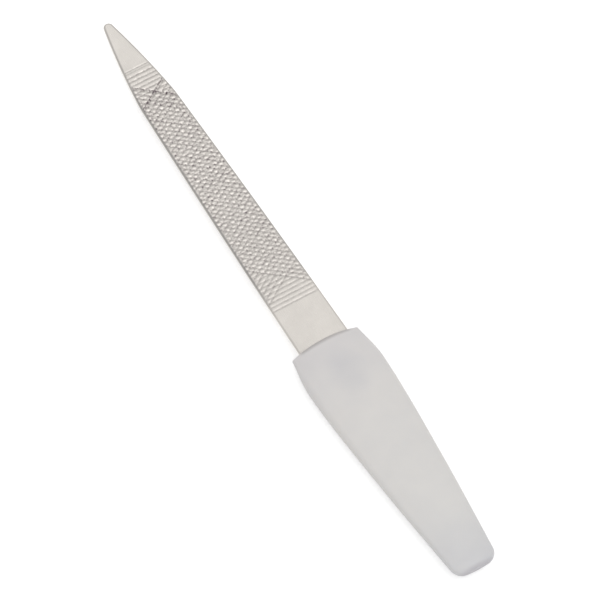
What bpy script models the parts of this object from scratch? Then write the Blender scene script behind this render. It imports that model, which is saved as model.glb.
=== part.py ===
# Nail file: a triple-cut steel blade whose tang is held in a one-piece moulded plastic handle.
# The file lies flat. X runs across it, +Y towards the blade's tip and +Z up. The origin is midway
# along its length, on the surface that the handle rests on. Sizes are in metres.

from math import atan2, cos, pi, radians, sin, sqrt
from typing import NamedTuple

import bmesh
import bpy
from mathutils import Vector

MM = 0.001

# Blade, stamped from strip and ground thinner where it is clear of the handle. Its lengths are
# counted from the handle's mouth
BLADE_REACH = 90.0 * MM
STRIP_THICKNESS = 1.0 * MM
BLADE_THICKNESS = 0.9 * MM
BLADE_WIDTH = 11.65 * MM
TAPER_START_WIDTH = 8.6 * MM
TAPER_LENGTH = 22.0 * MM
TIP_RADIUS = 1.1 * MM
SIDE_BOW = 0.15 * MM
TAPER_BOW = 0.3 * MM
BEVEL_WIDTH = 0.4 * MM
EDGE_THICKNESS = 0.4 * MM
GROUND_FROM_MOUTH = 0.3 * MM

# Tang, the end of the blade inside the handle
SEAT_DEPTH = 2.5 * MM
TANG_LENGTH = 26.0 * MM
TANG_WIDTH = 6.0 * MM
TANG_CHAMFER = 1.2 * MM
NOTCH_DEPTH = 0.8 * MM
NOTCH_LENGTH = 2.4 * MM
NOTCH_PITCH = 6.5 * MM
NOTCH_FROM_SEAT = 6.0 * MM
NOTCHES = 3

# Cut field on both faces of the blade: a cross cut along all of it, and two diagonal cuts that
# start and stop short of the cross cut's ends, by distances along the middle of the blade
FIRST_CUT_FROM_TIP = 14.35 * MM
LAST_CUT_FROM_MOUTH = 11.4 * MM
CROSS_PITCH = 1.02 * MM
FALLING_ANGLE = radians(-38.4)
FALLING_PITCH = 0.98 * MM
FALLING_START = 4.95 * MM
FALLING_STOP = 6.7 * MM
RISING_ANGLE = radians(32.65)
RISING_PITCH = 1.085 * MM
RISING_START = 5.7 * MM
RISING_STOP = 4.9 * MM
GROOVE_DEPTH = 0.15 * MM
GROOVE_HALF_WIDTH = 0.3 * MM
GROOVE_RUN_OUT = 0.3 * MM
OPENING_CUT_DEPTH = 0.19 * MM
LONGEST_TOOTH = 2.5 * MM
SMALLEST_FACET = 0.05 * MM

# Handle, whose lengths are counted from its mouth
HANDLE_LENGTH = 60.0 * MM
HANDLE_THICKNESS = 6.0 * MM
MOUTH_THICKNESS = 4.6 * MM
GRIP_THICKNESS = 5.0 * MM
BUTT_THICKNESS = 3.6 * MM
MOUTH_SHOULDER = 2.05 * MM
HANDLE_SWELL = 1.05 * MM
WIDEST_FROM_MOUTH = 9.4 * MM
GRIP_WIDTH = 14.6 * MM
BUTT_WIDTH = 9.6 * MM
BUTT_CORNER_RADIUS = 2.4 * MM
BUTT_EDGE_ROUNDING = 1.2 * MM
MOUTH_ROUNDING = 0.3 * MM
EDGE_RADIUS_SHARE = 0.35

# Gap between the tang and its socket, on every side
SOCKET_GAP = 0.3 * MM
CUTTER_OVERSHOOT = 2.0 * MM

# Fineness of the round stretches
SIDE_STEPS = 6
TIP_STEPS = 6
EDGE_STEPS = 3
CROWN_STEPS = 4
GRIP_STEPS = 22
CORNER_STEPS = 6
MOUTH_STEPS = 2
SMOOTH_ANGLE = radians(35)

# Derived places: the file's datum is the middle of the handle's mouth
MOUTH_Y = (HANDLE_LENGTH - BLADE_REACH) / 2
MID_HEIGHT = HANDLE_THICKNESS / 2
HALF_THICKNESS = BLADE_THICKNESS / 2
FIRST_CUT = BLADE_REACH - FIRST_CUT_FROM_TIP
LAST_CUT = LAST_CUT_FROM_MOUTH


class Cut(NamedTuple):
    """A family of parallel grooves: its angle to the cross direction, and where it starts and ends."""

    angle: float
    pitch: float
    first: float
    last: float
    opening_depth: float


CUTS = (
    Cut(0.0, CROSS_PITCH, FIRST_CUT, LAST_CUT, GROOVE_DEPTH),
    Cut(FALLING_ANGLE, FALLING_PITCH, FIRST_CUT - FALLING_START, LAST_CUT + FALLING_STOP, OPENING_CUT_DEPTH),
    Cut(RISING_ANGLE, RISING_PITCH, FIRST_CUT - RISING_START, LAST_CUT + RISING_STOP, OPENING_CUT_DEPTH),
)


class Section(NamedTuple):
    """A cross-section of the handle, at a distance behind its mouth."""

    back: float
    half_width: float
    half_height: float


def clear_scene():
    for thing in list(bpy.data.objects):
        bpy.data.objects.remove(thing, do_unlink=True)


def make_material(name, colour, roughness, metallic):
    material = bpy.data.materials.new(name)
    material.use_nodes = True
    shader = material.node_tree.nodes["Principled BSDF"]
    shader.inputs["Base Color"].default_value = (*colour, 1.0)
    shader.inputs["Roughness"].default_value = roughness
    shader.inputs["Metallic"].default_value = metallic
    return material


def add_object(name, bm, material, parent):
    mesh = bpy.data.meshes.new(name)
    bmesh.ops.recalc_face_normals(bm, faces=bm.faces[:])
    bm.to_mesh(mesh)
    bm.free()
    if material:
        mesh.materials.append(material)
    piece = bpy.data.objects.new(name, mesh)
    bpy.context.collection.objects.link(piece)
    piece.parent = parent
    return piece


def bowed_line(start, end, bow, steps):
    """Points after start, up to end, on a line whose middle stands out by bow on the +X side."""
    points = []
    for step in range(1, steps + 1):
        share = step / steps
        x, y = start.lerp(end, share)
        points.append(Vector((x + 4 * bow * share * (1 - share), y)))
    return points


def working_side():
    """The blade's right-hand side, from the mouth to the middle of its rounded tip."""
    mouth = Vector((BLADE_WIDTH / 2, 0))
    shoulder = Vector((TAPER_START_WIDTH / 2, BLADE_REACH - TAPER_LENGTH))
    tip_centre = Vector((0, BLADE_REACH - TIP_RADIUS))
    taper = tip_centre - shoulder
    lean = atan2(-taper.x, taper.y)
    side = [mouth] + bowed_line(mouth, shoulder, SIDE_BOW, SIDE_STEPS)
    tip_start = tip_centre + TIP_RADIUS * Vector((cos(lean), sin(lean)))
    side += bowed_line(shoulder, tip_start, TAPER_BOW, SIDE_STEPS)
    for step in range(1, TIP_STEPS + 1):
        angle = lean + (pi / 2 - lean) * step / TIP_STEPS
        side.append(tip_centre + TIP_RADIUS * Vector((cos(angle), sin(angle))))
    return side


def tang_side(gap):
    """The tang's right-hand side, grown by gap, from its end up to the seat inside the mouth."""
    half = TANG_WIDTH / 2 + gap
    side = [
        Vector((half - TANG_CHAMFER, -TANG_LENGTH - gap)),
        Vector((half, -TANG_LENGTH - gap + TANG_CHAMFER)),
    ]
    for notch in reversed(range(NOTCHES)):
        middle = -SEAT_DEPTH - NOTCH_FROM_SEAT - notch * NOTCH_PITCH
        low = middle - NOTCH_LENGTH / 2 + gap
        high = middle + NOTCH_LENGTH / 2 - gap
        floor = half - NOTCH_DEPTH
        side += [Vector((half, low)), Vector((floor, low)), Vector((floor, high)), Vector((half, high))]
    side.append(Vector((half, -SEAT_DEPTH - gap)))
    side.append(Vector((BLADE_WIDTH / 2 + gap, -SEAT_DEPTH - gap)))
    return side


def symmetric_outline(right_side):
    """A closed outline from its right-hand side, which may end on the middle line."""
    left_side = [Vector((-x, y)) for x, y in reversed(right_side) if x > SMALLEST_FACET]
    return right_side + left_side


def extruded(outline, thickness):
    """A flat body of the given outline, centred on the plane z = 0."""
    bm = bmesh.new()
    face = bm.faces.new([bm.verts.new((x, y, -thickness / 2)) for x, y in outline])
    grown = bmesh.ops.extrude_face_region(bm, geom=[face])
    raised = [part for part in grown["geom"] if isinstance(part, bmesh.types.BMVert)]
    bmesh.ops.translate(bm, verts=raised, vec=(0, 0, thickness))
    bmesh.ops.recalc_face_normals(bm, faces=bm.faces[:])
    return bm


def bevel_face(bm, up):
    """Drops the edge round the blade's upper (up = 1) or lower (up = -1) face, and rings the flat."""
    face = max(bm.faces, key=lambda each: each.normal.z * up * each.calc_area())
    bevel = bmesh.ops.inset_region(bm, faces=[face], thickness=BEVEL_WIDTH, use_even_offset=True)
    ring = bmesh.ops.inset_region(bm, faces=[face], thickness=GROOVE_RUN_OUT, use_even_offset=True)
    flat = {vert for each in ring["faces"] for vert in each.verts}
    for vert in {vert for each in bevel["faces"] for vert in each.verts} - flat:
        if vert.co.y > -SEAT_DEPTH / 2:
            vert.co.z = up * EDGE_THICKNESS / 2
    return face, ring["faces"]


def groove_lines(up):
    """A point on each groove and the level direction square to it, for one face of the blade."""
    lines = []
    for cut in CUTS:
        square = Vector((-sin(cut.angle) * up, cos(cut.angle), 0))
        step = cut.pitch / cos(cut.angle)
        place = cut.first
        while place > cut.last - SMALLEST_FACET:
            lines.append((Vector((0, place, 0)), square))
            place -= step
    return lines


def split_faces(bm, faces, point, square):
    """Splits faces along the line through point that runs square to the given direction."""
    edges = {edge for face in faces for edge in face.edges}
    verts = {vert for face in faces for vert in face.verts}
    split = bmesh.ops.bisect_plane(bm, geom=[*verts, *edges, *faces], plane_co=point, plane_no=square)
    return [part for part in split["geom"] if isinstance(part, bmesh.types.BMFace)]


def merge_close_verts(bm, faces):
    """Merges the corners of the faces that nearly meet, and returns the corners that are left."""
    verts = list({vert for face in faces for vert in face.verts})
    bmesh.ops.remove_doubles(bm, verts=verts, dist=SMALLEST_FACET)
    return [vert for vert in verts if vert.is_valid]


def cut_depth(spot, up):
    """How deep the grooves are at a spot: the first diagonal cut of each family is deeper."""
    depth = GROOVE_DEPTH
    for cut in CUTS:
        square = Vector((-sin(cut.angle) * up, cos(cut.angle)))
        first = Vector((0, cut.first))
        if abs((spot.xy - first).dot(square)) < SMALLEST_FACET:
            depth = max(depth, cut.opening_depth)
    return depth


def edge_distance(spot, start, end):
    """The level distance from a spot to the line through two others."""
    along = (end.xy - start.xy).normalized()
    return abs(along.cross(spot.xy - start.xy))


def raise_tooth(peak, level, up):
    """Lifts a tooth's peak as far as the slope of its nearest groove allows."""
    reach = GROOVE_HALF_WIDTH
    for face in peak.link_faces:
        start, end = [vert.co for vert in face.verts if vert is not peak]
        reach = min(reach, edge_distance(peak.co, start, end))
    peak.co.z = level - up * GROOVE_DEPTH * (1 - reach / GROOVE_HALF_WIDTH)


def raise_land(bm, band, level):
    """Lifts the flat land between two cross grooves, leaving a sloping flank along every side."""
    sides = [(edge.verts[0].co.copy(), edge.verts[1].co.copy()) for edge in band.edges]
    middle = band.calc_center_median()
    pieces = [band]
    for start, end in sides:
        inward = (end - start).cross(Vector((0, 0, 1))).normalized()
        if inward.dot(middle - start) < 0:
            inward.negate()
        pieces = split_faces(bm, pieces, start + inward * GROOVE_HALF_WIDTH, inward)
    for vert in merge_close_verts(bm, pieces):
        if min(edge_distance(vert.co, *side) for side in sides) > GROOVE_HALF_WIDTH - SMALLEST_FACET:
            vert.co.z = level


def cut_teeth(bm, zone, up):
    """Strikes the three families of grooves into one face and raises a tooth in every cell."""
    level = up * HALF_THICKNESS
    face, ring = bevel_face(bm, up)
    face[zone] = 2 * up
    for each in ring:
        each[zone] = up
    limits = (FIRST_CUT + GROOVE_HALF_WIDTH, LAST_CUT - GROOVE_HALF_WIDTH, GROUND_FROM_MOUTH, 0)
    cells = [face, *ring]
    for point, square in [(Vector((0, y, 0)), Vector((0, 1, 0))) for y in limits] + groove_lines(up):
        cells = split_faces(bm, cells, point, square)

    for vert in merge_close_verts(bm, cells):
        if vert.co.y > GROUND_FROM_MOUTH - SMALLEST_FACET:
            vert.co.z = level
        inside = all(each[zone] for each in vert.link_faces)
        if inside and LAST_CUT - SMALLEST_FACET < vert.co.y < FIRST_CUT + SMALLEST_FACET:
            vert.co.z = level - up * cut_depth(vert.co, up)

    cells = [each for each in bm.faces if each[zone] == 2 * up]
    cells = [each for each in cells if LAST_CUT < each.calc_center_median().y < FIRST_CUT]
    bands = [each for each in cells if max(edge.calc_length() for edge in each.edges) > LONGEST_TOOTH]
    teeth = [each for each in cells if each not in bands]
    for peak in bmesh.ops.poke(bm, faces=teeth)["verts"]:
        raise_tooth(peak, level, up)
    for band in bands:
        raise_land(bm, band, level)


def make_blade(material, parent):
    """The strip of steel: ground and bevelled blade, cut field on both faces and notched tang."""
    bm = extruded(symmetric_outline(tang_side(0) + working_side()), STRIP_THICKNESS)
    zone = bm.faces.layers.int.new("zone")
    for up in (1, -1):
        cut_teeth(bm, zone, up)
    bmesh.ops.triangulate(bm, faces=bm.faces[:])
    return add_object("blade", bm, material, parent)


def smooth_through(knots, place):
    """A value on the smooth curve through (place, value) knots, in order of place."""
    slopes = []
    for index in range(len(knots)):
        before = knots[max(index - 1, 0)]
        after = knots[min(index + 1, len(knots) - 1)]
        slopes.append((after[1] - before[1]) / (after[0] - before[0]))
    for (start, low), (end, high), rise, fall in zip(knots, knots[1:], slopes, slopes[1:]):
        if place <= end or end == knots[-1][0]:
            span = end - start
            t = (place - start) / span
            eased = low * (1 + 2 * t) * (1 - t) ** 2 + high * t * t * (3 - 2 * t)
            return eased + span * (rise * t * (1 - t) ** 2 - fall * t * t * (1 - t))


def handle_sections():
    """Cross-sections from the rounded mouth, over the swell, to the rounded butt."""
    mouth = Section(0, BLADE_WIDTH / 2 + MOUTH_SHOULDER, MOUTH_THICKNESS / 2)
    swell = Section(WIDEST_FROM_MOUTH, mouth.half_width + HANDLE_SWELL, HANDLE_THICKNESS / 2)
    butt = Section(HANDLE_LENGTH, BUTT_WIDTH / 2, BUTT_THICKNESS / 2)
    grip = Section((swell.back + butt.back) / 2, GRIP_WIDTH / 2, GRIP_THICKNESS / 2)
    stations = (mouth, swell, grip, butt)
    widths = [(each.back, each.half_width) for each in stations]
    heights = [(each.back, each.half_height) for each in stations]

    corner_start = HANDLE_LENGTH - BUTT_CORNER_RADIUS
    backs = []
    for step in range(MOUTH_STEPS):
        backs.append(MOUTH_ROUNDING * (1 - cos(pi / 2 * step / MOUTH_STEPS)))
    for step in range(GRIP_STEPS):
        backs.append(MOUTH_ROUNDING + (corner_start - MOUTH_ROUNDING) * step / GRIP_STEPS)
    for step in range(CORNER_STEPS + 1):
        backs.append(corner_start + BUTT_CORNER_RADIUS * sin(pi / 2 * step / CORNER_STEPS))

    sections = []
    for back in backs:
        rim = max(0, 1 - back / MOUTH_ROUNDING)
        corner = max(0, (back - corner_start) / BUTT_CORNER_RADIUS)
        rim_drop = MOUTH_ROUNDING * (1 - sqrt(1 - rim * rim))
        corner_share = 1 - sqrt(max(0, 1 - corner * corner))
        half_width = smooth_through(widths, back) - rim_drop - BUTT_CORNER_RADIUS * corner_share
        half_height = smooth_through(heights, back) - rim_drop - BUTT_EDGE_ROUNDING * corner_share
        sections.append(Section(back, half_width, half_height))
    return sections


def section_ring(section):
    """Points round a lens-shaped section: a shallow crown arc above and below, small arcs beside."""
    wide, high = section.half_width, section.half_height
    edge_radius = EDGE_RADIUS_SHARE * high
    edge_x = wide - edge_radius
    crown_radius = (edge_x ** 2 + high ** 2 - edge_radius ** 2) / (2 * (high - edge_radius))
    crown_z = high - crown_radius
    lean = atan2(-crown_z, edge_x)
    quarter = []
    for step in range(EDGE_STEPS):
        angle = lean * step / EDGE_STEPS
        quarter.append((edge_x + edge_radius * cos(angle), edge_radius * sin(angle)))
    for step in range(CROWN_STEPS):
        angle = lean + (pi / 2 - lean) * step / CROWN_STEPS
        quarter.append((crown_radius * cos(angle), crown_z + crown_radius * sin(angle)))
    upper = quarter + [(0, high)] + [(-x, z) for x, z in reversed(quarter[1:])]
    ring = upper + [(-x, -z) for x, z in upper]
    return [Vector((x, -section.back, z)) for x, z in ring]


def make_socket_cutter(parent):
    """The tang grown by the socket's gap, reaching out of the mouth."""
    mouth_corner = Vector((BLADE_WIDTH / 2 + SOCKET_GAP, CUTTER_OVERSHOOT))
    outline = symmetric_outline(tang_side(SOCKET_GAP) + [mouth_corner])
    bm = extruded(outline, STRIP_THICKNESS + 2 * SOCKET_GAP)
    cutter = add_object("tang_socket_cutter", bm, None, parent)
    cutter.hide_render = True
    cutter.display_type = "WIRE"
    return cutter


def make_handle(material, parent):
    """The moulded handle: lofted through its sections, with the tang's blind socket."""
    bm = bmesh.new()
    rings = [[bm.verts.new(point) for point in section_ring(each)] for each in handle_sections()]
    for ring, following in zip(rings, rings[1:]):
        for index in range(len(ring)):
            bm.faces.new((ring[index - 1], ring[index], following[index], following[index - 1]))
    bm.faces.new(rings[0])
    bm.faces.new(rings[-1])
    handle = add_object("handle", bm, material, parent)
    handle.data.shade_smooth()
    handle.data.set_sharp_from_angle(angle=SMOOTH_ANGLE)
    socket = handle.modifiers.new("tang_socket", "BOOLEAN")
    socket.operation = "DIFFERENCE"
    socket.solver = "EXACT"
    socket.object = make_socket_cutter(parent)
    return handle


def main():
    clear_scene()
    datum = bpy.data.objects.new("mouth_datum", None)
    datum.location = (0, MOUTH_Y, MID_HEIGHT)
    bpy.context.collection.objects.link(datum)
    steel = make_material("plated_steel", (0.72, 0.69, 0.65), 0.32, 1.0)
    plastic = make_material("white_plastic", (0.80, 0.80, 0.79), 0.38, 0.0)
    make_blade(steel, datum)
    make_handle(plastic, datum)


main()
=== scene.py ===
# %% [markdown]
# # Nail file
# A steel blade with three families of grooves, held in a white plastic handle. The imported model
# gives the true places: everything here is in metres, X runs across the file, +Y towards its tip
# and +Z up. It is loaded first, because every piece below is fitted to it.

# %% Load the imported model
from functools import partial
from math import atan2, cos, hypot, pi, radians, sin, sqrt

import bmesh
import bpy
from mathutils import Matrix, Vector


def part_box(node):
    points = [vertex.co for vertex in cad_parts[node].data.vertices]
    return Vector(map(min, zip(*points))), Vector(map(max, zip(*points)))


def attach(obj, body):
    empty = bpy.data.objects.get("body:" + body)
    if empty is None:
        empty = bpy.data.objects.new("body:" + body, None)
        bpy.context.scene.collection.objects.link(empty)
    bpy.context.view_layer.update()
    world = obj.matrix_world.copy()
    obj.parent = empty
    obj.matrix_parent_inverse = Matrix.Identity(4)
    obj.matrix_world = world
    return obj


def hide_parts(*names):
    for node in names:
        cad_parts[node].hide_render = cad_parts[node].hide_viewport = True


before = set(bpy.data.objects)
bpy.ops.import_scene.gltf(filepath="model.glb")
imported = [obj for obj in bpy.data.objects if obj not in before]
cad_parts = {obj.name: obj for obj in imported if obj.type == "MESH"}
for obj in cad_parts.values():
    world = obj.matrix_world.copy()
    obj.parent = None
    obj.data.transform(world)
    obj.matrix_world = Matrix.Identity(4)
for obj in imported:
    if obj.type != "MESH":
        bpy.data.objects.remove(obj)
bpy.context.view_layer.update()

MM = 0.001
blade_low, blade_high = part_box("blade")
handle_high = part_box("handle")[1]
MOUTH_Y = handle_high.y
MIDDLE_Z = (blade_low.z + blade_high.z) / 2
print("mouth of the handle at y =", round(MOUTH_Y / MM, 2), "mm")

# %% [markdown]
# ## Camera
# The file was photographed from about a metre away with a long lens, from the butt's side and a
# little to the left. A long lens far away keeps the two long edges nearly parallel, and a short
# one would splay them. The camera's place and the point in the middle of its picture are given,
# and the picture is then turned by about one degree.

# %% Place the camera
CAMERA_PLACE = Vector((-0.257276, -0.418474, 0.870707))
PICTURE_MIDDLE = Vector((0.000976, -0.00388, 0.003))
PICTURE_TURN = radians(1.1588)
FOCAL_LENGTH, SENSOR_WIDTH = 289.362, 36
NEAREST, FURTHEST = 0.01, 50

lens = bpy.data.cameras.new("camera")
lens.lens = FOCAL_LENGTH
lens.sensor_width = SENSOR_WIDTH
lens.clip_start = NEAREST
lens.clip_end = FURTHEST
camera = bpy.data.objects.new("camera", lens)
bpy.context.collection.objects.link(camera)
aim = (CAMERA_PLACE - PICTURE_MIDDLE).to_track_quat("Z", "Y").to_matrix()
turned = aim @ Matrix.Rotation(PICTURE_TURN, 3, "Z")
camera.matrix_world = Matrix.Translation(CAMERA_PLACE) @ turned.to_4x4()
bpy.context.scene.camera = camera
print("camera is", round((CAMERA_PLACE - PICTURE_MIDDLE).length, 3), "m away")

# %% [markdown]
# ## Studio
# Bright metal is a mirror of its room, so the room is most of its look. It could be lit by lamps
# in a dark room, but then the flat of the blade would be black. Here the room is a light tent, as
# a photographer sets it up: a bright ceiling, grey flags half-way up the walls, and paler paper
# lower down. The flat of the blade mirrors the ceiling and shines, and a flank of a groove mirrors
# the flags and goes grey. One soft box hangs above the butt's side and lights the crests of the
# teeth. The ceiling is less bright straight above, where the soft box already shines, so the blade
# doesn't burn out when it is seen from above. The floor is pale, and it adds its own white only
# where the camera or a reflection looks at it, so it stays white without throwing more light on
# the file, and still takes the file's shadow.

# %% Helpers for nodes
def add_node(tree, kind, settings=None, **sockets):
    """Adds a node, sets its properties, and fills its sockets with values or links.

    A socket goes by its name, with _ for a space, or by its place, such as _0 for the first.
    """
    node = tree.nodes.new(kind)
    for name, value in (settings or {}).items():
        setattr(node, name, value)
    for name, value in sockets.items():
        socket = node.inputs[int(name[1:])] if name[0] == "_" else node.inputs[name.replace("_", " ")]
        if isinstance(value, bpy.types.NodeSocket):
            tree.links.new(value, socket)
        else:
            socket.default_value = value
    return node


def sum_node(tree, operation, *values):
    """The result of one Math node, so that a formula reads as a formula."""
    sockets = {f"_{place}": value for place, value in enumerate(values)}
    return add_node(tree, "ShaderNodeMath", {"operation": operation}, **sockets).outputs[0]


NOISE_LOW, NOISE_HIGH = 0.3, 0.7


def noise(tree, place, scale, detail, roughness):
    """A noise between 0 and 1, which stays mostly between NOISE_LOW and NOISE_HIGH."""
    node = add_node(tree, "ShaderNodeTexNoise", Vector=place, Scale=scale, Detail=detail,
                    Roughness=roughness)
    return node.outputs["Fac"]


# %% Helpers for colours
def grey(level):
    return (level, level, level)


def opaque(colour):
    return (*colour, 1)


def add_ramp(tree, factor, stops):
    """A colour ramp from (place, colour) stops."""
    ramp = add_node(tree, "ShaderNodeValToRGB", Fac=factor)
    elements = ramp.color_ramp.elements
    while len(elements) < len(stops):
        elements.new(0.5)
    for element, (place, colour) in zip(elements, stops):
        element.position = place
        element.color = opaque(colour)
    return ramp.outputs["Color"]


def remap(tree, value, start, end, low, high, kind="LINEAR"):
    """A value that goes from low to high while the given one goes from start to end."""
    node = add_node(tree, "ShaderNodeMapRange", {"interpolation_type": kind},
                    Value=value, From_Min=start, From_Max=end, To_Min=low, To_Max=high)
    return node.outputs[0]


def mix(tree, share, colour, other, way="MIX"):
    """A colour mixed with another one, or multiplied by it, by a share."""
    settings = {"data_type": "RGBA", "blend_type": way}
    return add_node(tree, "ShaderNodeMix", settings, _0=share, _6=colour, _7=other).outputs[2]


# %% Light the room
SWEEP, LOW_WALL, FLAG, HIGH_WALL, CEILING, ZENITH = 0.80, 0.66, 0.54, 0.95, 1.01, 0.60
BRIGHT_SIDE = Vector((0.10, -0.06, 1.0)).normalized()

world = bpy.data.worlds.new("studio_room")
world.use_nodes = True
bpy.context.scene.world = world
tree = world.node_tree
tree.nodes.clear()
direction = add_node(tree, "ShaderNodeTexCoord").outputs["Generated"]
upwards = add_node(tree, "ShaderNodeVectorMath", {"operation": "DOT_PRODUCT"}, _0=direction, _1=BRIGHT_SIDE)
room = add_ramp(tree, upwards.outputs["Value"], [
    (0.0, grey(SWEEP)),
    (0.30, grey(LOW_WALL)),
    (0.58, grey(FLAG)),
    (0.80, grey(HIGH_WALL)),
    (0.90, grey(CEILING)),
    (1.0, grey(ZENITH)),
])
glow = add_node(tree, "ShaderNodeBackground", Color=room, Strength=1.0)
add_node(tree, "ShaderNodeOutputWorld", Surface=glow.outputs["Background"])
print("room goes from", FLAG, "on the flags to", CEILING, "on the ceiling")

# %% Hang the lamp
LAMP_DISTANCE, LAMP_SIZE, LAMP_POWER = 1.2, 1.2, 2.9
LAMP_FROM = Vector((0.12, -0.3, 0.95)).normalized()

light = bpy.data.lights.new("soft_box", "AREA")
light.shape = "DISK"
light.size = LAMP_SIZE
light.energy = LAMP_POWER
lamp = bpy.data.objects.new("soft_box", light)
bpy.context.collection.objects.link(lamp)
facing = LAMP_FROM.to_track_quat("Z", "Y").to_matrix().to_4x4()
lamp.matrix_world = Matrix.Translation(LAMP_FROM * LAMP_DISTANCE) @ facing
print("lamp at", [round(value, 2) for value in lamp.matrix_world.translation])

# %% Helper for meshes
def make_object(name, bm):
    """A new object with the mesh of a bmesh, which is freed."""
    mesh = bpy.data.meshes.new(name)
    bm.to_mesh(mesh)
    bm.free()
    piece = bpy.data.objects.new(name, mesh)
    bpy.context.collection.objects.link(piece)
    return piece


# %% Lay the floor
FLOOR_RADIUS, FLOOR_SIDES, FLOOR_WHITE, FLOOR_GLOW = 12.0, 64, 0.8, 0.48

paper = bpy.data.materials.new("floor_paper")
paper.use_nodes = True
tree = paper.node_tree
tree.nodes.clear()
ray = add_node(tree, "ShaderNodeLightPath").outputs
seen = sum_node(tree, "MAXIMUM", ray["Is Camera Ray"], ray["Is Glossy Ray"])
seen = sum_node(tree, "MAXIMUM", seen, ray["Is Transmission Ray"])
shine = sum_node(tree, "MULTIPLY", seen, FLOOR_GLOW)
matt = add_node(tree, "ShaderNodeBsdfDiffuse", Color=opaque(grey(FLOOR_WHITE)))
glow = add_node(tree, "ShaderNodeEmission", Strength=shine)
both = add_node(tree, "ShaderNodeAddShader", _0=matt.outputs[0], _1=glow.outputs[0])
add_node(tree, "ShaderNodeOutputMaterial", Surface=both.outputs[0])

bm = bmesh.new()
bmesh.ops.create_circle(bm, cap_ends=True, segments=FLOOR_SIDES, radius=FLOOR_RADIUS)
floor = make_object("floor", bm)
floor.data.materials.append(paper)
print("floor", 2 * FLOOR_RADIUS, "m across")

# %% [markdown]
# ## Blade blank
# The real blade is punched from strip, ground thinner and bevelled along its edges, all before a
# groove is cut. The blank could be an outline that is extruded and bevelled. Here it is lofted:
# rows of points across the blade, one closed ring for each place along it. That gives an even grid
# on both faces, fine enough for the grooves to be pressed into it afterwards.

# %% Outline of the blade
REACH = 90.0 * MM
WIDTH = 11.65 * MM
TAPER_START = REACH - 22.0 * MM
TAPER_START_WIDTH = 8.6 * MM
TIP_RADIUS = 1.1 * MM
SIDE_BOW = 0.15 * MM
TAPER_BOW = 0.3 * MM
TIP_CENTRE = REACH - TIP_RADIUS
TAPER_LEAN = atan2(TAPER_START_WIDTH / 2, TIP_CENTRE - TAPER_START)
ARC_START = TIP_CENTRE + TIP_RADIUS * sin(TAPER_LEAN)


def bowed(start, end, bow, share):
    """A value on a shallow bow from start to end."""
    return start + (end - start) * share + 4 * bow * share * (1 - share)


def half_width(place):
    """Half the blade's width at a distance from the handle's mouth."""
    if place >= ARC_START:
        return sqrt(max(0, TIP_RADIUS ** 2 - (place - TIP_CENTRE) ** 2))
    if place >= TAPER_START:
        share = (place - TAPER_START) / (ARC_START - TAPER_START)
        return bowed(TAPER_START_WIDTH / 2, TIP_RADIUS * cos(TAPER_LEAN), TAPER_BOW, share)
    return bowed(WIDTH / 2, TAPER_START_WIDTH / 2, SIDE_BOW, max(0, place) / TAPER_START)


print("half width at the taper:", round(half_width(TAPER_START) / MM, 3), "mm")

# %% Bevel and grinding
BEVEL = 0.4 * MM
BEVEL_ROUNDNESS = 2.5
EDGE = 0.4 * MM
THICKNESS = 0.9 * MM
STRIP = 1.0 * MM
GROUND_FROM = 0.3 * MM


def lean_at(place):
    """How far the outline leans inwards from the blade's long direction."""
    return TAPER_LEAN if place > TAPER_START else 0


def inside_edge(x, place):
    """How far a point is inside the blade's outline."""
    if place > TIP_CENTRE:
        return TIP_RADIUS - hypot(x, place - TIP_CENTRE)
    return (half_width(place) - abs(x)) * cos(lean_at(place))


def half_thickness(x, place):
    """Half the blade's thickness at a point of its outline, with a rounded bevel near the edge."""
    ground = min(1, max(0, place / GROUND_FROM))
    full = STRIP / 2 + (THICKNESS - STRIP) / 2 * ground
    away = 1 - min(1, max(0, inside_edge(x, place) / BEVEL))
    return EDGE / 2 + (full - EDGE / 2) * (1 - away ** BEVEL_ROUNDNESS)


print("thickness at the middle:", round(2 * half_thickness(0, REACH / 2) / MM, 2), "mm")

# %% Rows along the blade
CROSS_PITCH = 1.02 * MM
FIRST_CUT = REACH - 14.35 * MM
LAST_CUT = 11.4 * MM
LEAD_ROOM = 2.2 * MM
ROWS_PER_GROOVE = 8
PLAIN_STEP = 0.6 * MM
TIP_ROWS = 14


def spread(start, end, step):
    """Places from start, up to but without end, about step apart."""
    count = max(1, round((end - start) / step))
    return [start + (end - start) * index / count for index in range(count)]


field_start = LAST_CUT - CROSS_PITCH
field_end = FIRST_CUT + LEAD_ROOM
rows = spread(0, GROUND_FROM, GROUND_FROM)
rows += spread(GROUND_FROM, field_start, PLAIN_STEP)
rows += spread(field_start, field_end, CROSS_PITCH / ROWS_PER_GROOVE)
rows += spread(field_end, TIP_CENTRE, PLAIN_STEP)
for index in range(TIP_ROWS + 1):
    rows.append(TIP_CENTRE + TIP_RADIUS * sin(pi / 2 * index / TIP_ROWS))
print(len(rows), "rows along the blade")

# %% Tang, the end of the blade inside the handle
SEAT = 2.5 * MM
TANG_LENGTH = 26.0 * MM
TANG_HALF = 3.0 * MM
TANG_CHAMFER = 1.2 * MM
NOTCHES = 3
NOTCH_DEPTH = 0.8 * MM
NOTCH_LENGTH = 2.4 * MM
NOTCH_PITCH = 6.5 * MM
FIRST_NOTCH = 6.0 * MM
CORNER = 0.05 * MM

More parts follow.
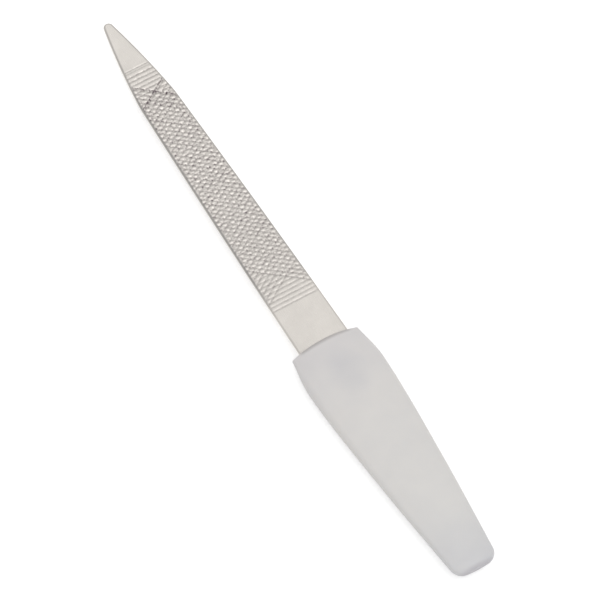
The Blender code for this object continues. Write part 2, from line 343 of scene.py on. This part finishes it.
notched = TANG_HALF - NOTCH_DEPTH
tang = [(-TANG_LENGTH, TANG_HALF - TANG_CHAMFER), (-TANG_LENGTH + TANG_CHAMFER, TANG_HALF)]
for notch in reversed(range(NOTCHES)):
    middle = -SEAT - FIRST_NOTCH - notch * NOTCH_PITCH
    low, high = middle - NOTCH_LENGTH / 2, middle + NOTCH_LENGTH / 2
    tang += [(low, TANG_HALF), (low + CORNER, notched), (high - CORNER, notched), (high, TANG_HALF)]
tang += [(-SEAT, TANG_HALF), (-SEAT + CORNER, WIDTH / 2)]
print(len(tang), "rows along the tang")

# %% One ring round the blade
COLUMNS = 62
BEVEL_SHARES = (0.12, 0.32, 0.6)
TIP_FLAT_SHARE = 0.35


def across_points(place, half):
    """Places across the blade, close together over the bevels and even over the flat between."""
    if place > TIP_CENTRE:
        reach = sqrt(max(0, (TIP_RADIUS - BEVEL) ** 2 - (place - TIP_CENTRE) ** 2))
        inner = max(reach, TIP_FLAT_SHARE * half)
    else:
        inner = half - BEVEL / cos(lean_at(place))
    right = [half] + [half + (inner - half) * share for share in BEVEL_SHARES]
    flat = [inner * (2 * index / COLUMNS - 1) for index in range(COLUMNS + 1)]
    return [-x for x in right] + flat + right[::-1]


def ring_points(place, half, bevelled):
    """A closed ring over the upper face and back under the lower one.

    Each point comes with how far it is inside the outline.
    """
    over, under = [], []
    for x in across_points(place, half):
        high = half_thickness(x, place) if bevelled else STRIP / 2
        over.append((Vector((x, MOUTH_Y + place, MIDDLE_Z + high)), inside_edge(x, place)))
        under.append((Vector((x, MOUTH_Y + place, MIDDLE_Z - high)), inside_edge(x, place)))
    return over + under[::-1]


print(len(ring_points(0, WIDTH / 2, True)), "points in each ring")

# %% Loft the blank
MERGE = 0.002 * MM


def join_rings(bm, rings):
    """Adds the faces between each ring of points and the next one."""
    for ring, following in zip(rings, rings[1:]):
        for index in range(len(ring)):
            bm.faces.new((ring[index - 1], ring[index], following[index], following[index - 1]))


bm = bmesh.new()
inside_layer = bm.verts.layers.float.new("inside")
stations = [(place, half, False) for place, half in tang]
stations += [(place, half_width(place), True) for place in rows]
rings = []
for station in stations:
    ring = []
    for spot, inside in ring_points(*station):
        vert = bm.verts.new(spot)
        vert[inside_layer] = inside
        ring.append(vert)
    rings.append(ring)
join_rings(bm, rings)
bm.faces.new(rings[0])

across = len(rings[0]) // 2
for ring, following in zip(rings, rings[1:]):
    for index in (0, across - 1, across, 2 * across - 1):
        bm.edges.get((ring[index], following[index])).smooth = False
for ring in rings[:len(tang) + 1]:
    for one, other in zip(ring, ring[1:] + ring[:1]):
        bm.edges.get((one, other)).smooth = False
bmesh.ops.remove_doubles(bm, verts=bm.verts[:], dist=MERGE)
bmesh.ops.recalc_face_normals(bm, faces=bm.faces[:])
open_edges = sum(not edge.is_manifold for edge in bm.edges)
blank = make_object("blade_blank", bm)
blank.data.shade_smooth()
print("blank:", len(blank.data.polygons), "faces,", open_edges, "open edges")

# %% [markdown]
# ## Nickel plate
# The blade is plated with nickel, a white metal with a faint warm tone. It came satin from the
# grinding belt: fine scratches run along it, and the plating is a little cloudy. Its colour is
# painted brighter towards the tip, a painted reflection, and painted darker in the grooves, a
# painted shade, where the plate is also rougher and gritty. A painted shade also runs as a greyer
# line along both edges, darker along the left one. All this could be painted on a picture of the
# blade. Here the shape itself tells the material where it is: the blank stores on every point how
# far it is inside the outline, and the groove cutter below stores how deep it cut, from 0 on the
# lands to 1.7 in the deepest valleys.

# %% Satin plate, painted brighter towards the tip
NICKEL = (0.747, 0.711, 0.666)
CLOUD_DARK, CLOUD_BRIGHT = 0.955, 1.03
PAINTED_LIGHT_ALONG = ((0.12, 1.0), (0.17, 0.957), (0.35, 0.97), (0.47, 1.015), (0.85, 1.02), (0.96, 1.08))

nickel = bpy.data.materials.new("nickel_plate")
nickel.use_nodes = True
tree = nickel.node_tree
shader = tree.nodes["Principled BSDF"]
shader.inputs["Metallic"].default_value = 1.0
place = add_node(tree, "ShaderNodeTexCoord").outputs["Object"]
axes = add_node(tree, "ShaderNodeSeparateXYZ", Vector=place).outputs

cloud = noise(tree, place, scale=260.0, detail=4.0, roughness=0.6)
tone = add_ramp(tree, cloud, [
    (NOISE_LOW, tuple(CLOUD_DARK * value for value in NICKEL)),
    (NOISE_HIGH, tuple(CLOUD_BRIGHT * value for value in NICKEL)),
])

share_along = remap(tree, axes["Y"], MOUTH_Y, MOUTH_Y + REACH, 0.0, 1.0)
# Painted light: the plate's colour is made brighter towards the tip, as a painted reflection.
painted_light_along = add_ramp(tree, share_along, [(spot, grey(level)) for spot, level in PAINTED_LIGHT_ALONG])
tone = mix(tree, 1.0, tone, painted_light_along, "MULTIPLY")
print("plate at the tip is", PAINTED_LIGHT_ALONG[-1][1], "times as bright as its colour")

# %% Painted shade in the gritty valleys
PAINTED_VALLEY_SHADE = (0.200, 0.165, 0.178)
PAINTED_SHADE_SHARE, PAINTED_SHADE_POWER = 0.58, 1.3
GRIT_SCALE = (3000.0, 1100.0, 3000.0)
GRIT_LOW, GRIT_HIGH = 0.35, 0.65
GRIT_LEAST, GRIT_MOST = 0.38, 1.62

drawn_out = add_node(tree, "ShaderNodeMapping", Vector=place, Scale=GRIT_SCALE).outputs[0]
grit = noise(tree, drawn_out, scale=1.0, detail=1.0, roughness=0.5)
grit = remap(tree, grit, GRIT_LOW, GRIT_HIGH, GRIT_LEAST, GRIT_MOST)
groove = add_node(tree, "ShaderNodeAttribute", {"attribute_name": "groove"}).outputs["Fac"]
groove = sum_node(tree, "MULTIPLY", groove, grit)
valley = sum_node(tree, "POWER", sum_node(tree, "MULTIPLY", groove, PAINTED_SHADE_SHARE), PAINTED_SHADE_POWER)
# Painted shade: the valleys are darkened towards a grey-violet, more where they are cut deeper.
colour = mix(tree, valley, tone, opaque(PAINTED_VALLEY_SHADE))
print("darkest valley keeps", round(PAINTED_VALLEY_SHADE[0] / NICKEL[0], 2), "of the plate's red")

# %% Painted shade along the edges
PAINTED_EDGE_SHADE = (0.33, 0.32, 0.31)
RIM_SPAN = 0.8 * MM
RIM = ((0.0, 0.4), (0.28, 1.0), (0.46, 0.85), (0.68, 0.0))
SIDE_REACH = 3.0 * MM
LEFT_RIM, RIGHT_RIM = 1.0, 0.55

inside = add_node(tree, "ShaderNodeAttribute", {"attribute_name": "inside"}).outputs["Fac"]
share_inside = sum_node(tree, "DIVIDE", inside, RIM_SPAN)
rim = add_ramp(tree, share_inside, [(spot, grey(level)) for spot, level in RIM])
# Painted shade: the edge line is darkest over the cut field and fainter towards both ends.
edge_shade_along = add_ramp(tree, share_along, [
    (LAST_CUT / REACH - 0.02, grey(0.12)),
    (0.22, grey(0.9)),
    (0.76, grey(0.9)),
    (0.84, grey(0.5)),
])
# Painted shade: the left edge's line is painted darker than the right one.
side = remap(tree, axes["X"], -SIDE_REACH, SIDE_REACH, LEFT_RIM, RIGHT_RIM)
rim = sum_node(tree, "MULTIPLY", rim, edge_shade_along)
rim = sum_node(tree, "MULTIPLY", rim, side)
colour = mix(tree, rim, colour, opaque(PAINTED_EDGE_SHADE))
tree.links.new(colour, shader.inputs["Base Color"])
print("grey line ends", round(RIM[-1][0] * RIM_SPAN / MM, 2), "mm inside the outline")

# %% Scratches and grain of the plate
BRUSHED_SCALE = (9000.0, 260.0, 9000.0)
SATIN_LEAST, SATIN_MOST, GROOVE_DULLNESS = 0.24, 0.36, 0.16

along = add_node(tree, "ShaderNodeMapping", Vector=place, Scale=BRUSHED_SCALE).outputs[0]
brushed = noise(tree, along, scale=1.0, detail=3.0, roughness=0.65)
satin = remap(tree, brushed, NOISE_LOW, NOISE_HIGH, SATIN_LEAST, SATIN_MOST)
tree.links.new(sum_node(tree, "MULTIPLY_ADD", groove, GROOVE_DULLNESS, satin), shader.inputs["Roughness"])

grain = noise(tree, place, scale=5200.0, detail=3.0, roughness=0.7)
scratches = add_node(tree, "ShaderNodeBump", Strength=0.12, Distance=0.02 * MM, Height=brushed)
pits = add_node(tree, "ShaderNodeBump", Strength=0.25, Distance=0.03 * MM, Height=grain,
                Normal=scratches.outputs[0])
tree.links.new(pits.outputs[0], shader.inputs["Normal"])
print("nickel plate has", len(tree.nodes), "nodes")

# %% [markdown]
# ## Grooves
# A chisel strikes the grooves one after the other into the annealed blank: first straight across,
# then slanting down to one side, then to the other. What stays between three grooves is a tooth.
# Two deeper opening cuts start the slanting families and cross near the tip, and a faint double
# lead groove starts the straight one. The teeth could be placed one by one, some two thousand of
# them. Geometry Nodes do it the way the chisel does: for every point of the blank they measure how
# far it is from the nearest groove of each family, and push the point in. Where grooves cross, the
# deepest one counts in full, and the others only by a share, because half of their metal is gone
# already. The strikes grow fainter towards the handle, no two are equally deep, and noise roughens
# them as the chisel's chatter and the torn burr do.

# %% Helper for geometry nodes
SOCKET_KINDS = {float: "NodeSocketFloat", int: "NodeSocketInt"}


def geometry_tree(name, inputs, output, output_kind):
    """A new geometry node tree. An input is named with its first value, or with its kind of socket."""
    tree = bpy.data.node_groups.new(name, "GeometryNodeTree")
    for title, value in inputs.items():
        kind = SOCKET_KINDS.get(type(value), value)
        socket = tree.interface.new_socket(title, in_out="INPUT", socket_type=kind)
        if kind != value:
            socket.default_value = value
    tree.interface.new_socket(output, in_out="OUTPUT", socket_type=output_kind)
    return tree


# %% One family of grooves
GROOVE_HALF = 0.48 * MM

family = geometry_tree("groove_family", {
    "Across": 0.0,
    "Along": 0.0,
    "Angle": 0.0,
    "Pitch": CROSS_PITCH,
    "First": FIRST_CUT,
    "Last": LAST_CUT,
    "Depth": 0.1 * MM,
    "Half Width": GROOVE_HALF,
    "Last Share": 1.0,
    "Unevenness": 0.24,
    "Counting Slack": 0.05,
    "Seed": 0,
}, "Cut", "NodeSocketFloat")
given = family.nodes.new("NodeGroupInput").outputs
sums = partial(sum_node, family)

# The number of the nearest groove, and whether the family goes on that far.
slant = sums("MULTIPLY", given["Across"], sums("SINE", given["Angle"]))
cosine = sums("COSINE", given["Angle"])
from_first = sums("MULTIPLY", sums("SUBTRACT", given["First"], given["Along"]), cosine)
counted = sums("DIVIDE", sums("ADD", from_first, slant), given["Pitch"])
number = sums("ROUND", counted)
span = sums("MULTIPLY", sums("SUBTRACT", given["First"], given["Last"]), cosine)
last_number = sums("FLOOR", sums("ADD", sums("DIVIDE", span, given["Pitch"]), given["Counting Slack"]))
not_before = sums("GREATER_THAN", number, -0.5)
not_after = sums("LESS_THAN", number, sums("ADD", last_number, 0.5))
real = sums("MULTIPLY", not_before, not_after)

# Its depth, which is uneven and fades towards the last groove, and its V with a rounded mouth.
chance = add_node(family, "FunctionNodeRandomValue", ID=number, Seed=given["Seed"]).outputs["Value"]
uneven = sums("MULTIPLY_ADD", sums("SUBTRACT", chance, 0.5), given["Unevenness"], 1.0)
gone = sums("DIVIDE", sums("MAXIMUM", number, 0.0), sums("MAXIMUM", last_number, 1.0))
fading = sums("MULTIPLY_ADD", gone, sums("SUBTRACT", given["Last Share"], 1.0), 1.0)
away = sums("MULTIPLY", sums("ABSOLUTE", sums("SUBTRACT", counted, number)), given["Pitch"])
share = sums("MINIMUM", sums("DIVIDE", away, given["Half Width"]), 1.0)
profile = sums("SUBTRACT", 1.0, sums("SINE", sums("MULTIPLY", share, pi / 2)))
depth = sums("MULTIPLY", sums("MULTIPLY", given["Depth"], fading), uneven)
cut = sums("MULTIPLY", sums("MULTIPLY", profile, depth), real)
add_node(family, "NodeGroupOutput", Cut=cut)
print("groove family:", len(family.nodes), "nodes")

# %% Sizes of the groove cutter
CROSS_SHIFT = 0.07 * MM

cutter = geometry_tree("groove_cutter", {
    "Blank": "NodeSocketGeometry",
    "Finish": "NodeSocketMaterial",
    "Half Width": GROOVE_HALF,
    "Margin": 0.15 * MM,
    "Run Out": 0.35 * MM,
    "Run Out Softness": 0.3,
    "Cross Pitch": CROSS_PITCH,
    "Cross First": FIRST_CUT - CROSS_SHIFT,
    "Cross Last": LAST_CUT - CROSS_SHIFT,
    "Cross Depth": 0.104 * MM,
    "Cross Last Share": 0.67,
    "Lead Place": 77.12 * MM,
    "Lead Width": 0.5 * MM,
    "Lead Depth": 0.095 * MM,
    "Lead Second Share": 0.65,
    "Lead Half Width": 0.33 * MM,
    "Falling Angle": radians(-38.7),
    "Falling Pitch": 0.982 * MM,
    "Falling First": 70.04 * MM,
    "Falling Last": 18.5 * MM,
    "Falling Depth": 0.128 * MM,
    "Falling Opening": 70.55 * MM,
    "Falling Opening Angle": radians(-39.6),
    "Rising Angle": radians(32.65),
    "Rising Pitch": 1.085 * MM,
    "Rising First": 69.45 * MM,
    "Rising Last": 16.6 * MM,
    "Rising Depth": 0.115 * MM,
    "Rising Opening": 69.95 * MM,
    "Rising Opening Angle": radians(33.1),
    "Slant Last Share": 0.75,
    "Opening Depth": 0.15 * MM,
    "Opening Half Width": 0.3 * MM,
    "Opening Shade And Dullness": 1.2,
    "Crossing Share": 0.5,
    "Chatter": 0.2,
    "Burr": 1.9,
    "Shade And Dull Depth": 0.16 * MM,
    "Darkest And Dullest": 1.7,
    "Seed": 7,
}, "Blade", "NodeSocketGeometry")
given = cutter.nodes.new("NodeGroupInput").outputs
sums = partial(sum_node, cutter)
spot = add_node(cutter, "GeometryNodeInputPosition").outputs[0]
axes = add_node(cutter, "ShaderNodeSeparateXYZ", Vector=spot).outputs
up = sums("SIGN", sums("SUBTRACT", axes["Z"], MIDDLE_Z))
across = sums("MULTIPLY", axes["X"], up)
along = sums("SUBTRACT", axes["Y"], MOUTH_Y)
print("middle of the blade at z =", round(MIDDLE_Z / MM, 2), "mm")

# %% Strikes of the chisel
def strike(seed, **sockets):
    """Adds one family of grooves to the cutter and returns how deep it cuts."""
    sockets.setdefault("Half_Width", given["Half Width"])
    node = add_node(cutter, "GeometryNodeGroup", {"node_tree": family}, Across=across, Along=along,
                    Seed=sums("ADD", given["Seed"], seed), **sockets)
    return node.outputs["Cut"]


def strike_once(seed, place, **sockets):
    """Adds a single groove at a place."""
    return strike(seed, First=place, Last=place, **sockets)


cuts = [strike(0, Pitch=given["Cross Pitch"], First=given["Cross First"], Last=given["Cross Last"],
               Depth=given["Cross Depth"], Last_Share=given["Cross Last Share"])]
second = sums("SUBTRACT", given["Lead Place"], given["Lead Width"])
for lead, lead_share in ((given["Lead Place"], 1.0), (second, given["Lead Second Share"])):
    cuts.append(strike_once(1, lead, Pitch=given["Cross Pitch"], Half_Width=given["Lead Half Width"],
                            Depth=sums("MULTIPLY", given["Lead Depth"], lead_share)))
openings = []
for index, name in enumerate(("Falling", "Rising")):
    pitch = given[f"{name} Pitch"]
    cuts.append(strike(2 + index, Angle=given[f"{name} Angle"], Pitch=pitch, First=given[f"{name} First"],
                       Last=given[f"{name} Last"], Depth=given[f"{name} Depth"],
                       Last_Share=given["Slant Last Share"]))
    openings.append(strike_once(4 + index, given[f"{name} Opening"], Angle=given[f"{name} Opening Angle"],
                                Pitch=pitch, Depth=given["Opening Depth"],
                                Half_Width=given["Opening Half Width"]))
opened = sums("MAXIMUM", *openings)
print(len(cuts), "families and single grooves, and", len(openings), "opening cuts")

# %% Grooves where they cross, and their roughness
CHATTER_SCALE, BURR_SCALE = 800.0, 2400.0

total = deepest = cuts[0]
for each in cuts[1:]:
    total = sums("ADD", total, each)
    deepest = sums("MAXIMUM", deepest, each)
together = sums("MULTIPLY_ADD", sums("SUBTRACT", total, deepest), given["Crossing Share"], deepest)
for name, scale in (("Chatter", CHATTER_SCALE), ("Burr", BURR_SCALE)):
    rough = noise(cutter, spot, scale=scale, detail=1.0, roughness=0.5)
    wobble = sums("MULTIPLY_ADD", sums("SUBTRACT", rough, 0.5), given[name], 1.0)
    together = sums("MULTIPLY", together, wobble)

inside = add_node(cutter, "GeometryNodeInputNamedAttribute", {"data_type": "FLOAT"}, Name="inside")
margin = sums("SUBTRACT", inside.outputs["Attribute"], given["Margin"])
run_out = sums("SMOOTH_MIN", sums("DIVIDE", margin, given["Run Out"]), 1.0, given["Run Out Softness"])
run_out = sums("MAXIMUM", run_out, 0.0)
cut = sums("MULTIPLY", sums("ADD", together, opened), run_out)
# How dark the painted shade in a valley is and how rough its plate is, both from its depth;
# the opening cuts count more.
shade_and_dullness = sums("MULTIPLY_ADD", opened, given["Opening Shade And Dullness"], together)
shade_and_dullness = sums("DIVIDE", sums("MULTIPLY", shade_and_dullness, run_out), given["Shade And Dull Depth"])
valley = sums("MINIMUM", shade_and_dullness, given["Darkest And Dullest"])
print("chatter has noise scale", CHATTER_SCALE, "and the burr", BURR_SCALE)

# %% Push the points in
push = add_node(cutter, "ShaderNodeCombineXYZ", Z=sums("MULTIPLY", cut, sums("MULTIPLY", up, -1.0)))
moved = add_node(cutter, "GeometryNodeSetPosition", Geometry=given["Blank"], Offset=push.outputs[0])
kept = add_node(cutter, "GeometryNodeStoreNamedAttribute", {"data_type": "FLOAT", "domain": "POINT"},
                Name="groove", Geometry=moved.outputs[0], Value=valley)
made = add_node(cutter, "GeometryNodeRealizeInstances", Geometry=kept.outputs[0])
plated = add_node(cutter, "GeometryNodeSetMaterial", Geometry=made.outputs[0], Material=given["Finish"])
add_node(cutter, "NodeGroupOutput", Blade=plated.outputs[0])
print("groove cutter:", len(cutter.nodes), "nodes")

# %% Strike the grooves
def set_input(modifier, name, value):
    """Sets a modifier's input by the identifier of its socket."""
    for item in modifier.node_group.interface.items_tree:
        if item.item_type == "SOCKET" and item.in_out == "INPUT" and item.name == name:
            modifier[item.identifier] = value


def baked(piece, name):
    """A plain mesh object from a piece with its modifiers applied; the piece itself is removed."""
    bpy.context.view_layer.update()
    final = piece.evaluated_get(bpy.context.evaluated_depsgraph_get())
    mesh = bpy.data.meshes.new_from_object(final)
    mesh.name = name
    plain = bpy.data.objects.new(name, mesh)
    bpy.context.collection.objects.link(plain)
    bpy.data.objects.remove(piece, do_unlink=True)
    return plain


modifier = blank.modifiers.new("grooves", "NODES")
modifier.node_group = cutter
set_input(modifier, "Finish", nickel)
blade = baked(blank, "cut_blade")
low = min(vert.co.z for vert in blade.data.vertices)
print("cut blade:", len(blade.data.polygons), "faces, lowest at", round(low / MM, 3), "mm")

# %% [markdown]
# ## Handle
# The handle is one moulding of soft white plastic. Its sections are shallow lenses, widest just
# behind the mouth and narrow at the butt. The mouth has a rounded lip that bows back a little at
# its two corners, and the butt's corners are round. A box with subdivisions could be pulled into
# this shape by eye. Here it is lofted from its sections along smooth curves, as a mould maker would
# draw it, so every width and height is a number that can be measured, and then the blind socket of
# the tang is taken out with a Boolean.

# %% Curves of the handle
HANDLE_LENGTH = 60.0 * MM
BACKS = (0, 9.4 * MM, 34.7 * MM, HANDLE_LENGTH)
HALF_WIDTHS = (7.875 * MM, 8.925 * MM, 7.3 * MM, 4.8 * MM)
HALF_HEIGHTS = (2.3 * MM, 3.0 * MM, 2.5 * MM, 1.8 * MM)

widths = list(zip(BACKS, HALF_WIDTHS))
heights = list(zip(BACKS, HALF_HEIGHTS))


def smooth_through(knots, place):
    """A value on the smooth curve through (place, value) knots."""
    slopes = []
    for index in range(len(knots)):
        before, after = knots[max(index - 1, 0)], knots[min(index + 1, len(knots) - 1)]
        slopes.append((after[1] - before[1]) / (after[0] - before[0]))
    for (start, low), (end, high), rise, fall in zip(knots, knots[1:], slopes, slopes[1:]):
        if place <= end or end == knots[-1][0]:
            span = end - start
            t = (place - start) / span
            eased = low * (1 + 2 * t) * (1 - t) ** 2 + high * t * t * (3 - 2 * t)
            return eased + span * (rise * t * (1 - t) ** 2 - fall * t * t * (1 - t))


print("handle half width 20 mm back:", round(smooth_through(widths, 20 * MM) / MM, 2), "mm")

# %% Rounded ends of the handle
MOUTH_ROUNDING = 0.15 * MM
LIP_ROUNDING = 0.6 * MM
BUTT_CORNER = 2.4 * MM
BUTT_ROUNDING = 1.2 * MM


def rounding(distance, radius):
    """What a rounding takes away at a distance from its end of the handle."""
    short = max(0, 1 - distance / radius)
    return radius * (1 - sqrt(max(0, 1 - short * short)))


def section(back):
    """Half width and half height of the handle at a distance behind its mouth."""
    corner = rounding(HANDLE_LENGTH - back, BUTT_CORNER)
    half = smooth_through(widths, back) - rounding(back, MOUTH_ROUNDING) - corner
    lowered = rounding(back, LIP_ROUNDING) + corner * BUTT_ROUNDING / BUTT_CORNER
    return half, smooth_through(heights, back) - lowered


print("butt is", round(2 * section(HANDLE_LENGTH)[1] / MM, 2), "mm high at its very end")

# %% Sections of the handle
RIM_STEPS, GRIP_STEPS, BUTT_STEPS = 9, 90, 16
EDGE_STEPS, CROWN_STEPS = 8, 16
EDGE_SHARE = 0.6
MOUTH_EDGE_SHARE = 0.3
MOUTH_BOW = 0.5 * MM
BOW_LENGTH = 6.0 * MM

grip_end = HANDLE_LENGTH - BUTT_CORNER
backs = [LIP_ROUNDING * (1 - cos(pi / 2 * step / RIM_STEPS)) for step in range(RIM_STEPS)]
backs += spread(LIP_ROUNDING, grip_end, grip_end / GRIP_STEPS)
for step in range(BUTT_STEPS + 1):
    backs.append(grip_end + BUTT_CORNER * sin(pi / 2 * step / BUTT_STEPS))
fit_x = handle_high.x / max(section(back)[0] for back in backs)
fit_z = (handle_high.z - MIDDLE_Z) / max(section(back)[1] for back in backs)


def lens_ring(back):
    """Points round a lens-shaped section: a shallow arc above and below, small arcs beside."""
    wide, high = section(back)
    wide, high = wide * fit_x, high * fit_z
    near_mouth = max(0, 1 - back / BOW_LENGTH)
    edge_radius = high * (EDGE_SHARE + (MOUTH_EDGE_SHARE - EDGE_SHARE) * near_mouth)
    edge_x = wide - edge_radius
    crown_radius = (edge_x ** 2 + high ** 2 - edge_radius ** 2) / (2 * (high - edge_radius))
    crown_z = high - crown_radius
    lean = atan2(-crown_z, edge_x)
    quarter = []
    for step in range(EDGE_STEPS):
        angle = lean * step / EDGE_STEPS
        quarter.append((edge_x + edge_radius * cos(angle), edge_radius * sin(angle)))
    for step in range(CROWN_STEPS):
        angle = lean + (pi / 2 - lean) * step / CROWN_STEPS
        quarter.append((crown_radius * cos(angle), crown_z + crown_radius * sin(angle)))
    upper = quarter + [(0, high)] + [(-x, z) for x, z in reversed(quarter[1:])]
    ring = upper + [(-x, -z) for x, z in upper]
    bow = MOUTH_BOW * near_mouth
    return [Vector((x, MOUTH_Y - back - bow * (x / wide) ** 2, MIDDLE_Z + z)) for x, z in ring]


print("sections are fitted by", round(fit_x, 4), "across and", round(fit_z, 4), "up")

# %% Loft the handle
bm = bmesh.new()
rings = [[bm.verts.new(point) for point in lens_ring(back)] for back in backs]
join_rings(bm, rings)
bm.faces.new(rings[0])
bm.faces.new(rings[-1])
bmesh.ops.recalc_face_normals(bm, faces=bm.faces[:])
loft = make_object("handle_loft", bm)
loft.data.shade_smooth()
print("handle loft:", len(loft.data.polygons), "faces")

# %% Take out the socket
GAP = 0.3 * MM
PAST_MOUTH = 2.0 * MM
SHARP = radians(40)

side = [(TANG_HALF + GAP, -TANG_LENGTH - GAP), (TANG_HALF + GAP, -SEAT - GAP),
        (WIDTH / 2 + GAP, -SEAT - GAP), (WIDTH / 2 + GAP, PAST_MOUTH)]
outline = side + [(-x, y) for x, y in reversed(side)]
level = MIDDLE_Z - STRIP / 2 - GAP
bm = bmesh.new()
face = bm.faces.new([bm.verts.new((x, MOUTH_Y + y, level)) for x, y in outline])
grown = bmesh.ops.extrude_face_region(bm, geom=[face])
raised = [part for part in grown["geom"] if isinstance(part, bmesh.types.BMVert)]
bmesh.ops.translate(bm, verts=raised, vec=(0, 0, STRIP + 2 * GAP))
bmesh.ops.recalc_face_normals(bm, faces=bm.faces[:])
socket_tool = make_object("socket_tool", bm)

cutout = loft.modifiers.new("socket", "BOOLEAN")
cutout.operation = "DIFFERENCE"
cutout.solver = "EXACT"
cutout.object = socket_tool
handle = baked(loft, "moulded_handle")
bpy.data.objects.remove(socket_tool, do_unlink=True)
handle.data.set_sharp_from_angle(angle=SHARP)
print("handle:", len(handle.data.polygons), "faces")

# %% [markdown]
# ## White plastic
# The moulding is white polystyrene with a soft, slightly waxy skin. Light goes a little way into
# it, and the steel of the tang shows through as a faint bluish shadow behind the mouth, which is
# painted. Its tone drifts slowly along the handle, a painted shade darkens the lip over the blade
# and the very end of the butt, and the skin has fine orange peel. Each of these could be a layer
# of paint. Here each is one soft mask made from the place of a point, and the masks multiply the
# same base colour.

# %% Tone of the plastic
TONES = ((0.0, (0.709, 0.686, 0.681)), (0.30, (0.734, 0.713, 0.692)),
         (0.75, (0.733, 0.717, 0.697)), (1.0, (0.655, 0.652, 0.663)))
DRIFT = (0.965, 0.968, 0.975)
BUTT_Y = MOUTH_Y - HANDLE_LENGTH

plastic = bpy.data.materials.new("white_moulding")
plastic.use_nodes = True
tree = plastic.node_tree
shader = tree.nodes["Principled BSDF"]
place = add_node(tree, "ShaderNodeTexCoord").outputs["Object"]
axes = add_node(tree, "ShaderNodeSeparateXYZ", Vector=place).outputs
tone = add_ramp(tree, remap(tree, axes["Y"], MOUTH_Y, BUTT_Y, 0.0, 1.0), TONES)
mottle = noise(tree, place, scale=190.0, detail=3.0, roughness=0.5)
drift = add_ramp(tree, mottle, [(NOISE_LOW, DRIFT), (NOISE_HIGH, grey(1.0))])
colour = mix(tree, 1.0, tone, drift, "MULTIPLY")
print("plastic has", len(TONES), "tones along it")

# %% Shadow of the tang, and painted shade on the lip and at the butt
STEEL_SHADE = (0.925, 0.932, 0.949)
LIP_PAINTED_SHADE = (0.70, 0.685, 0.675)
BUTT_PAINTED_SHADE = (0.88, 0.865, 0.885)
SHADOW_PLACE = Vector((0.1 * MM, MOUTH_Y - 8.8 * MM, 0))
SHADOW_SIZE = Vector((5.5 * MM, 8.2 * MM, 1.0))
SHADOW_CORE = 0.15
LIP_START, LIP_END = 1.3 * MM, 0.4 * MM
BLADE_INSIDE, BLADE_OUTSIDE = 5.0 * MM, 6.6 * MM
BUTT_SHADE_SPAN = 0.9 * MM

away = add_node(tree, "ShaderNodeVectorMath", {"operation": "SUBTRACT"}, _0=place, _1=SHADOW_PLACE)
away = add_node(tree, "ShaderNodeVectorMath", {"operation": "DIVIDE"}, _0=away.outputs[0], _1=SHADOW_SIZE)
away = add_node(tree, "ShaderNodeVectorMath", {"operation": "LENGTH"}, _0=away.outputs[0])
shadow = remap(tree, away.outputs["Value"], SHADOW_CORE, 1.0, 1.0, 0.0, "SMOOTHSTEP")

# Painted shade on the lip, only where the blade goes into the mouth.
beside = sum_node(tree, "ABSOLUTE", axes["X"])
under_blade = remap(tree, beside, BLADE_INSIDE, BLADE_OUTSIDE, 1.0, 0.0, "SMOOTHSTEP")
lip = remap(tree, axes["Y"], MOUTH_Y - LIP_START, MOUTH_Y - LIP_END, 0.0, 1.0, "SMOOTHSTEP")
lip = sum_node(tree, "MULTIPLY", lip, under_blade)
# Painted shade over the very end of the butt, where it turns down.
butt = remap(tree, axes["Y"], BUTT_Y, BUTT_Y + BUTT_SHADE_SPAN, 1.0, 0.0, "SMOOTHSTEP")
for mask, shade in ((shadow, STEEL_SHADE), (lip, LIP_PAINTED_SHADE), (butt, BUTT_PAINTED_SHADE)):
    colour = mix(tree, mask, colour, opaque(shade), "MULTIPLY")
tree.links.new(colour, shader.inputs["Base Color"])
print("shadow of the tang is", round(2 * SHADOW_SIZE.x / MM, 1), "mm wide")

# %% Skin of the plastic
GLOSS_LEAST, GLOSS_MOST = 0.36, 0.52

rubbed = noise(tree, place, scale=420.0, detail=5.0, roughness=0.65)
gloss = remap(tree, rubbed, NOISE_LOW, NOISE_HIGH, GLOSS_LEAST, GLOSS_MOST)
tree.links.new(gloss, shader.inputs["Roughness"])
peel = noise(tree, place, scale=1500.0, detail=2.0, roughness=0.5)
skin = add_node(tree, "ShaderNodeBump", Strength=0.2, Distance=0.03 * MM, Height=peel)
tree.links.new(skin.outputs[0], shader.inputs["Normal"])
shader.inputs["Subsurface Weight"].default_value = 0.12
shader.inputs["Subsurface Radius"].default_value = (1.0, 0.9, 0.8)
shader.inputs["Subsurface Scale"].default_value = 1.5 * MM
handle.data.materials.clear()
handle.data.materials.append(plastic)
print("white plastic has", len(tree.nodes), "nodes")

# %% [markdown]
# ## Join the pieces to the model
# Both pieces stand for their solids of the imported model, which are hidden, and ride on its one
# body.

# %% Hand over
for piece, node, finish in ((blade, "blade", "plated_steel"), (handle, "handle", "white_plastic")):
    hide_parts(node)
    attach(piece, "root")

bpy.context.scene.view_settings.view_transform = "Standard"
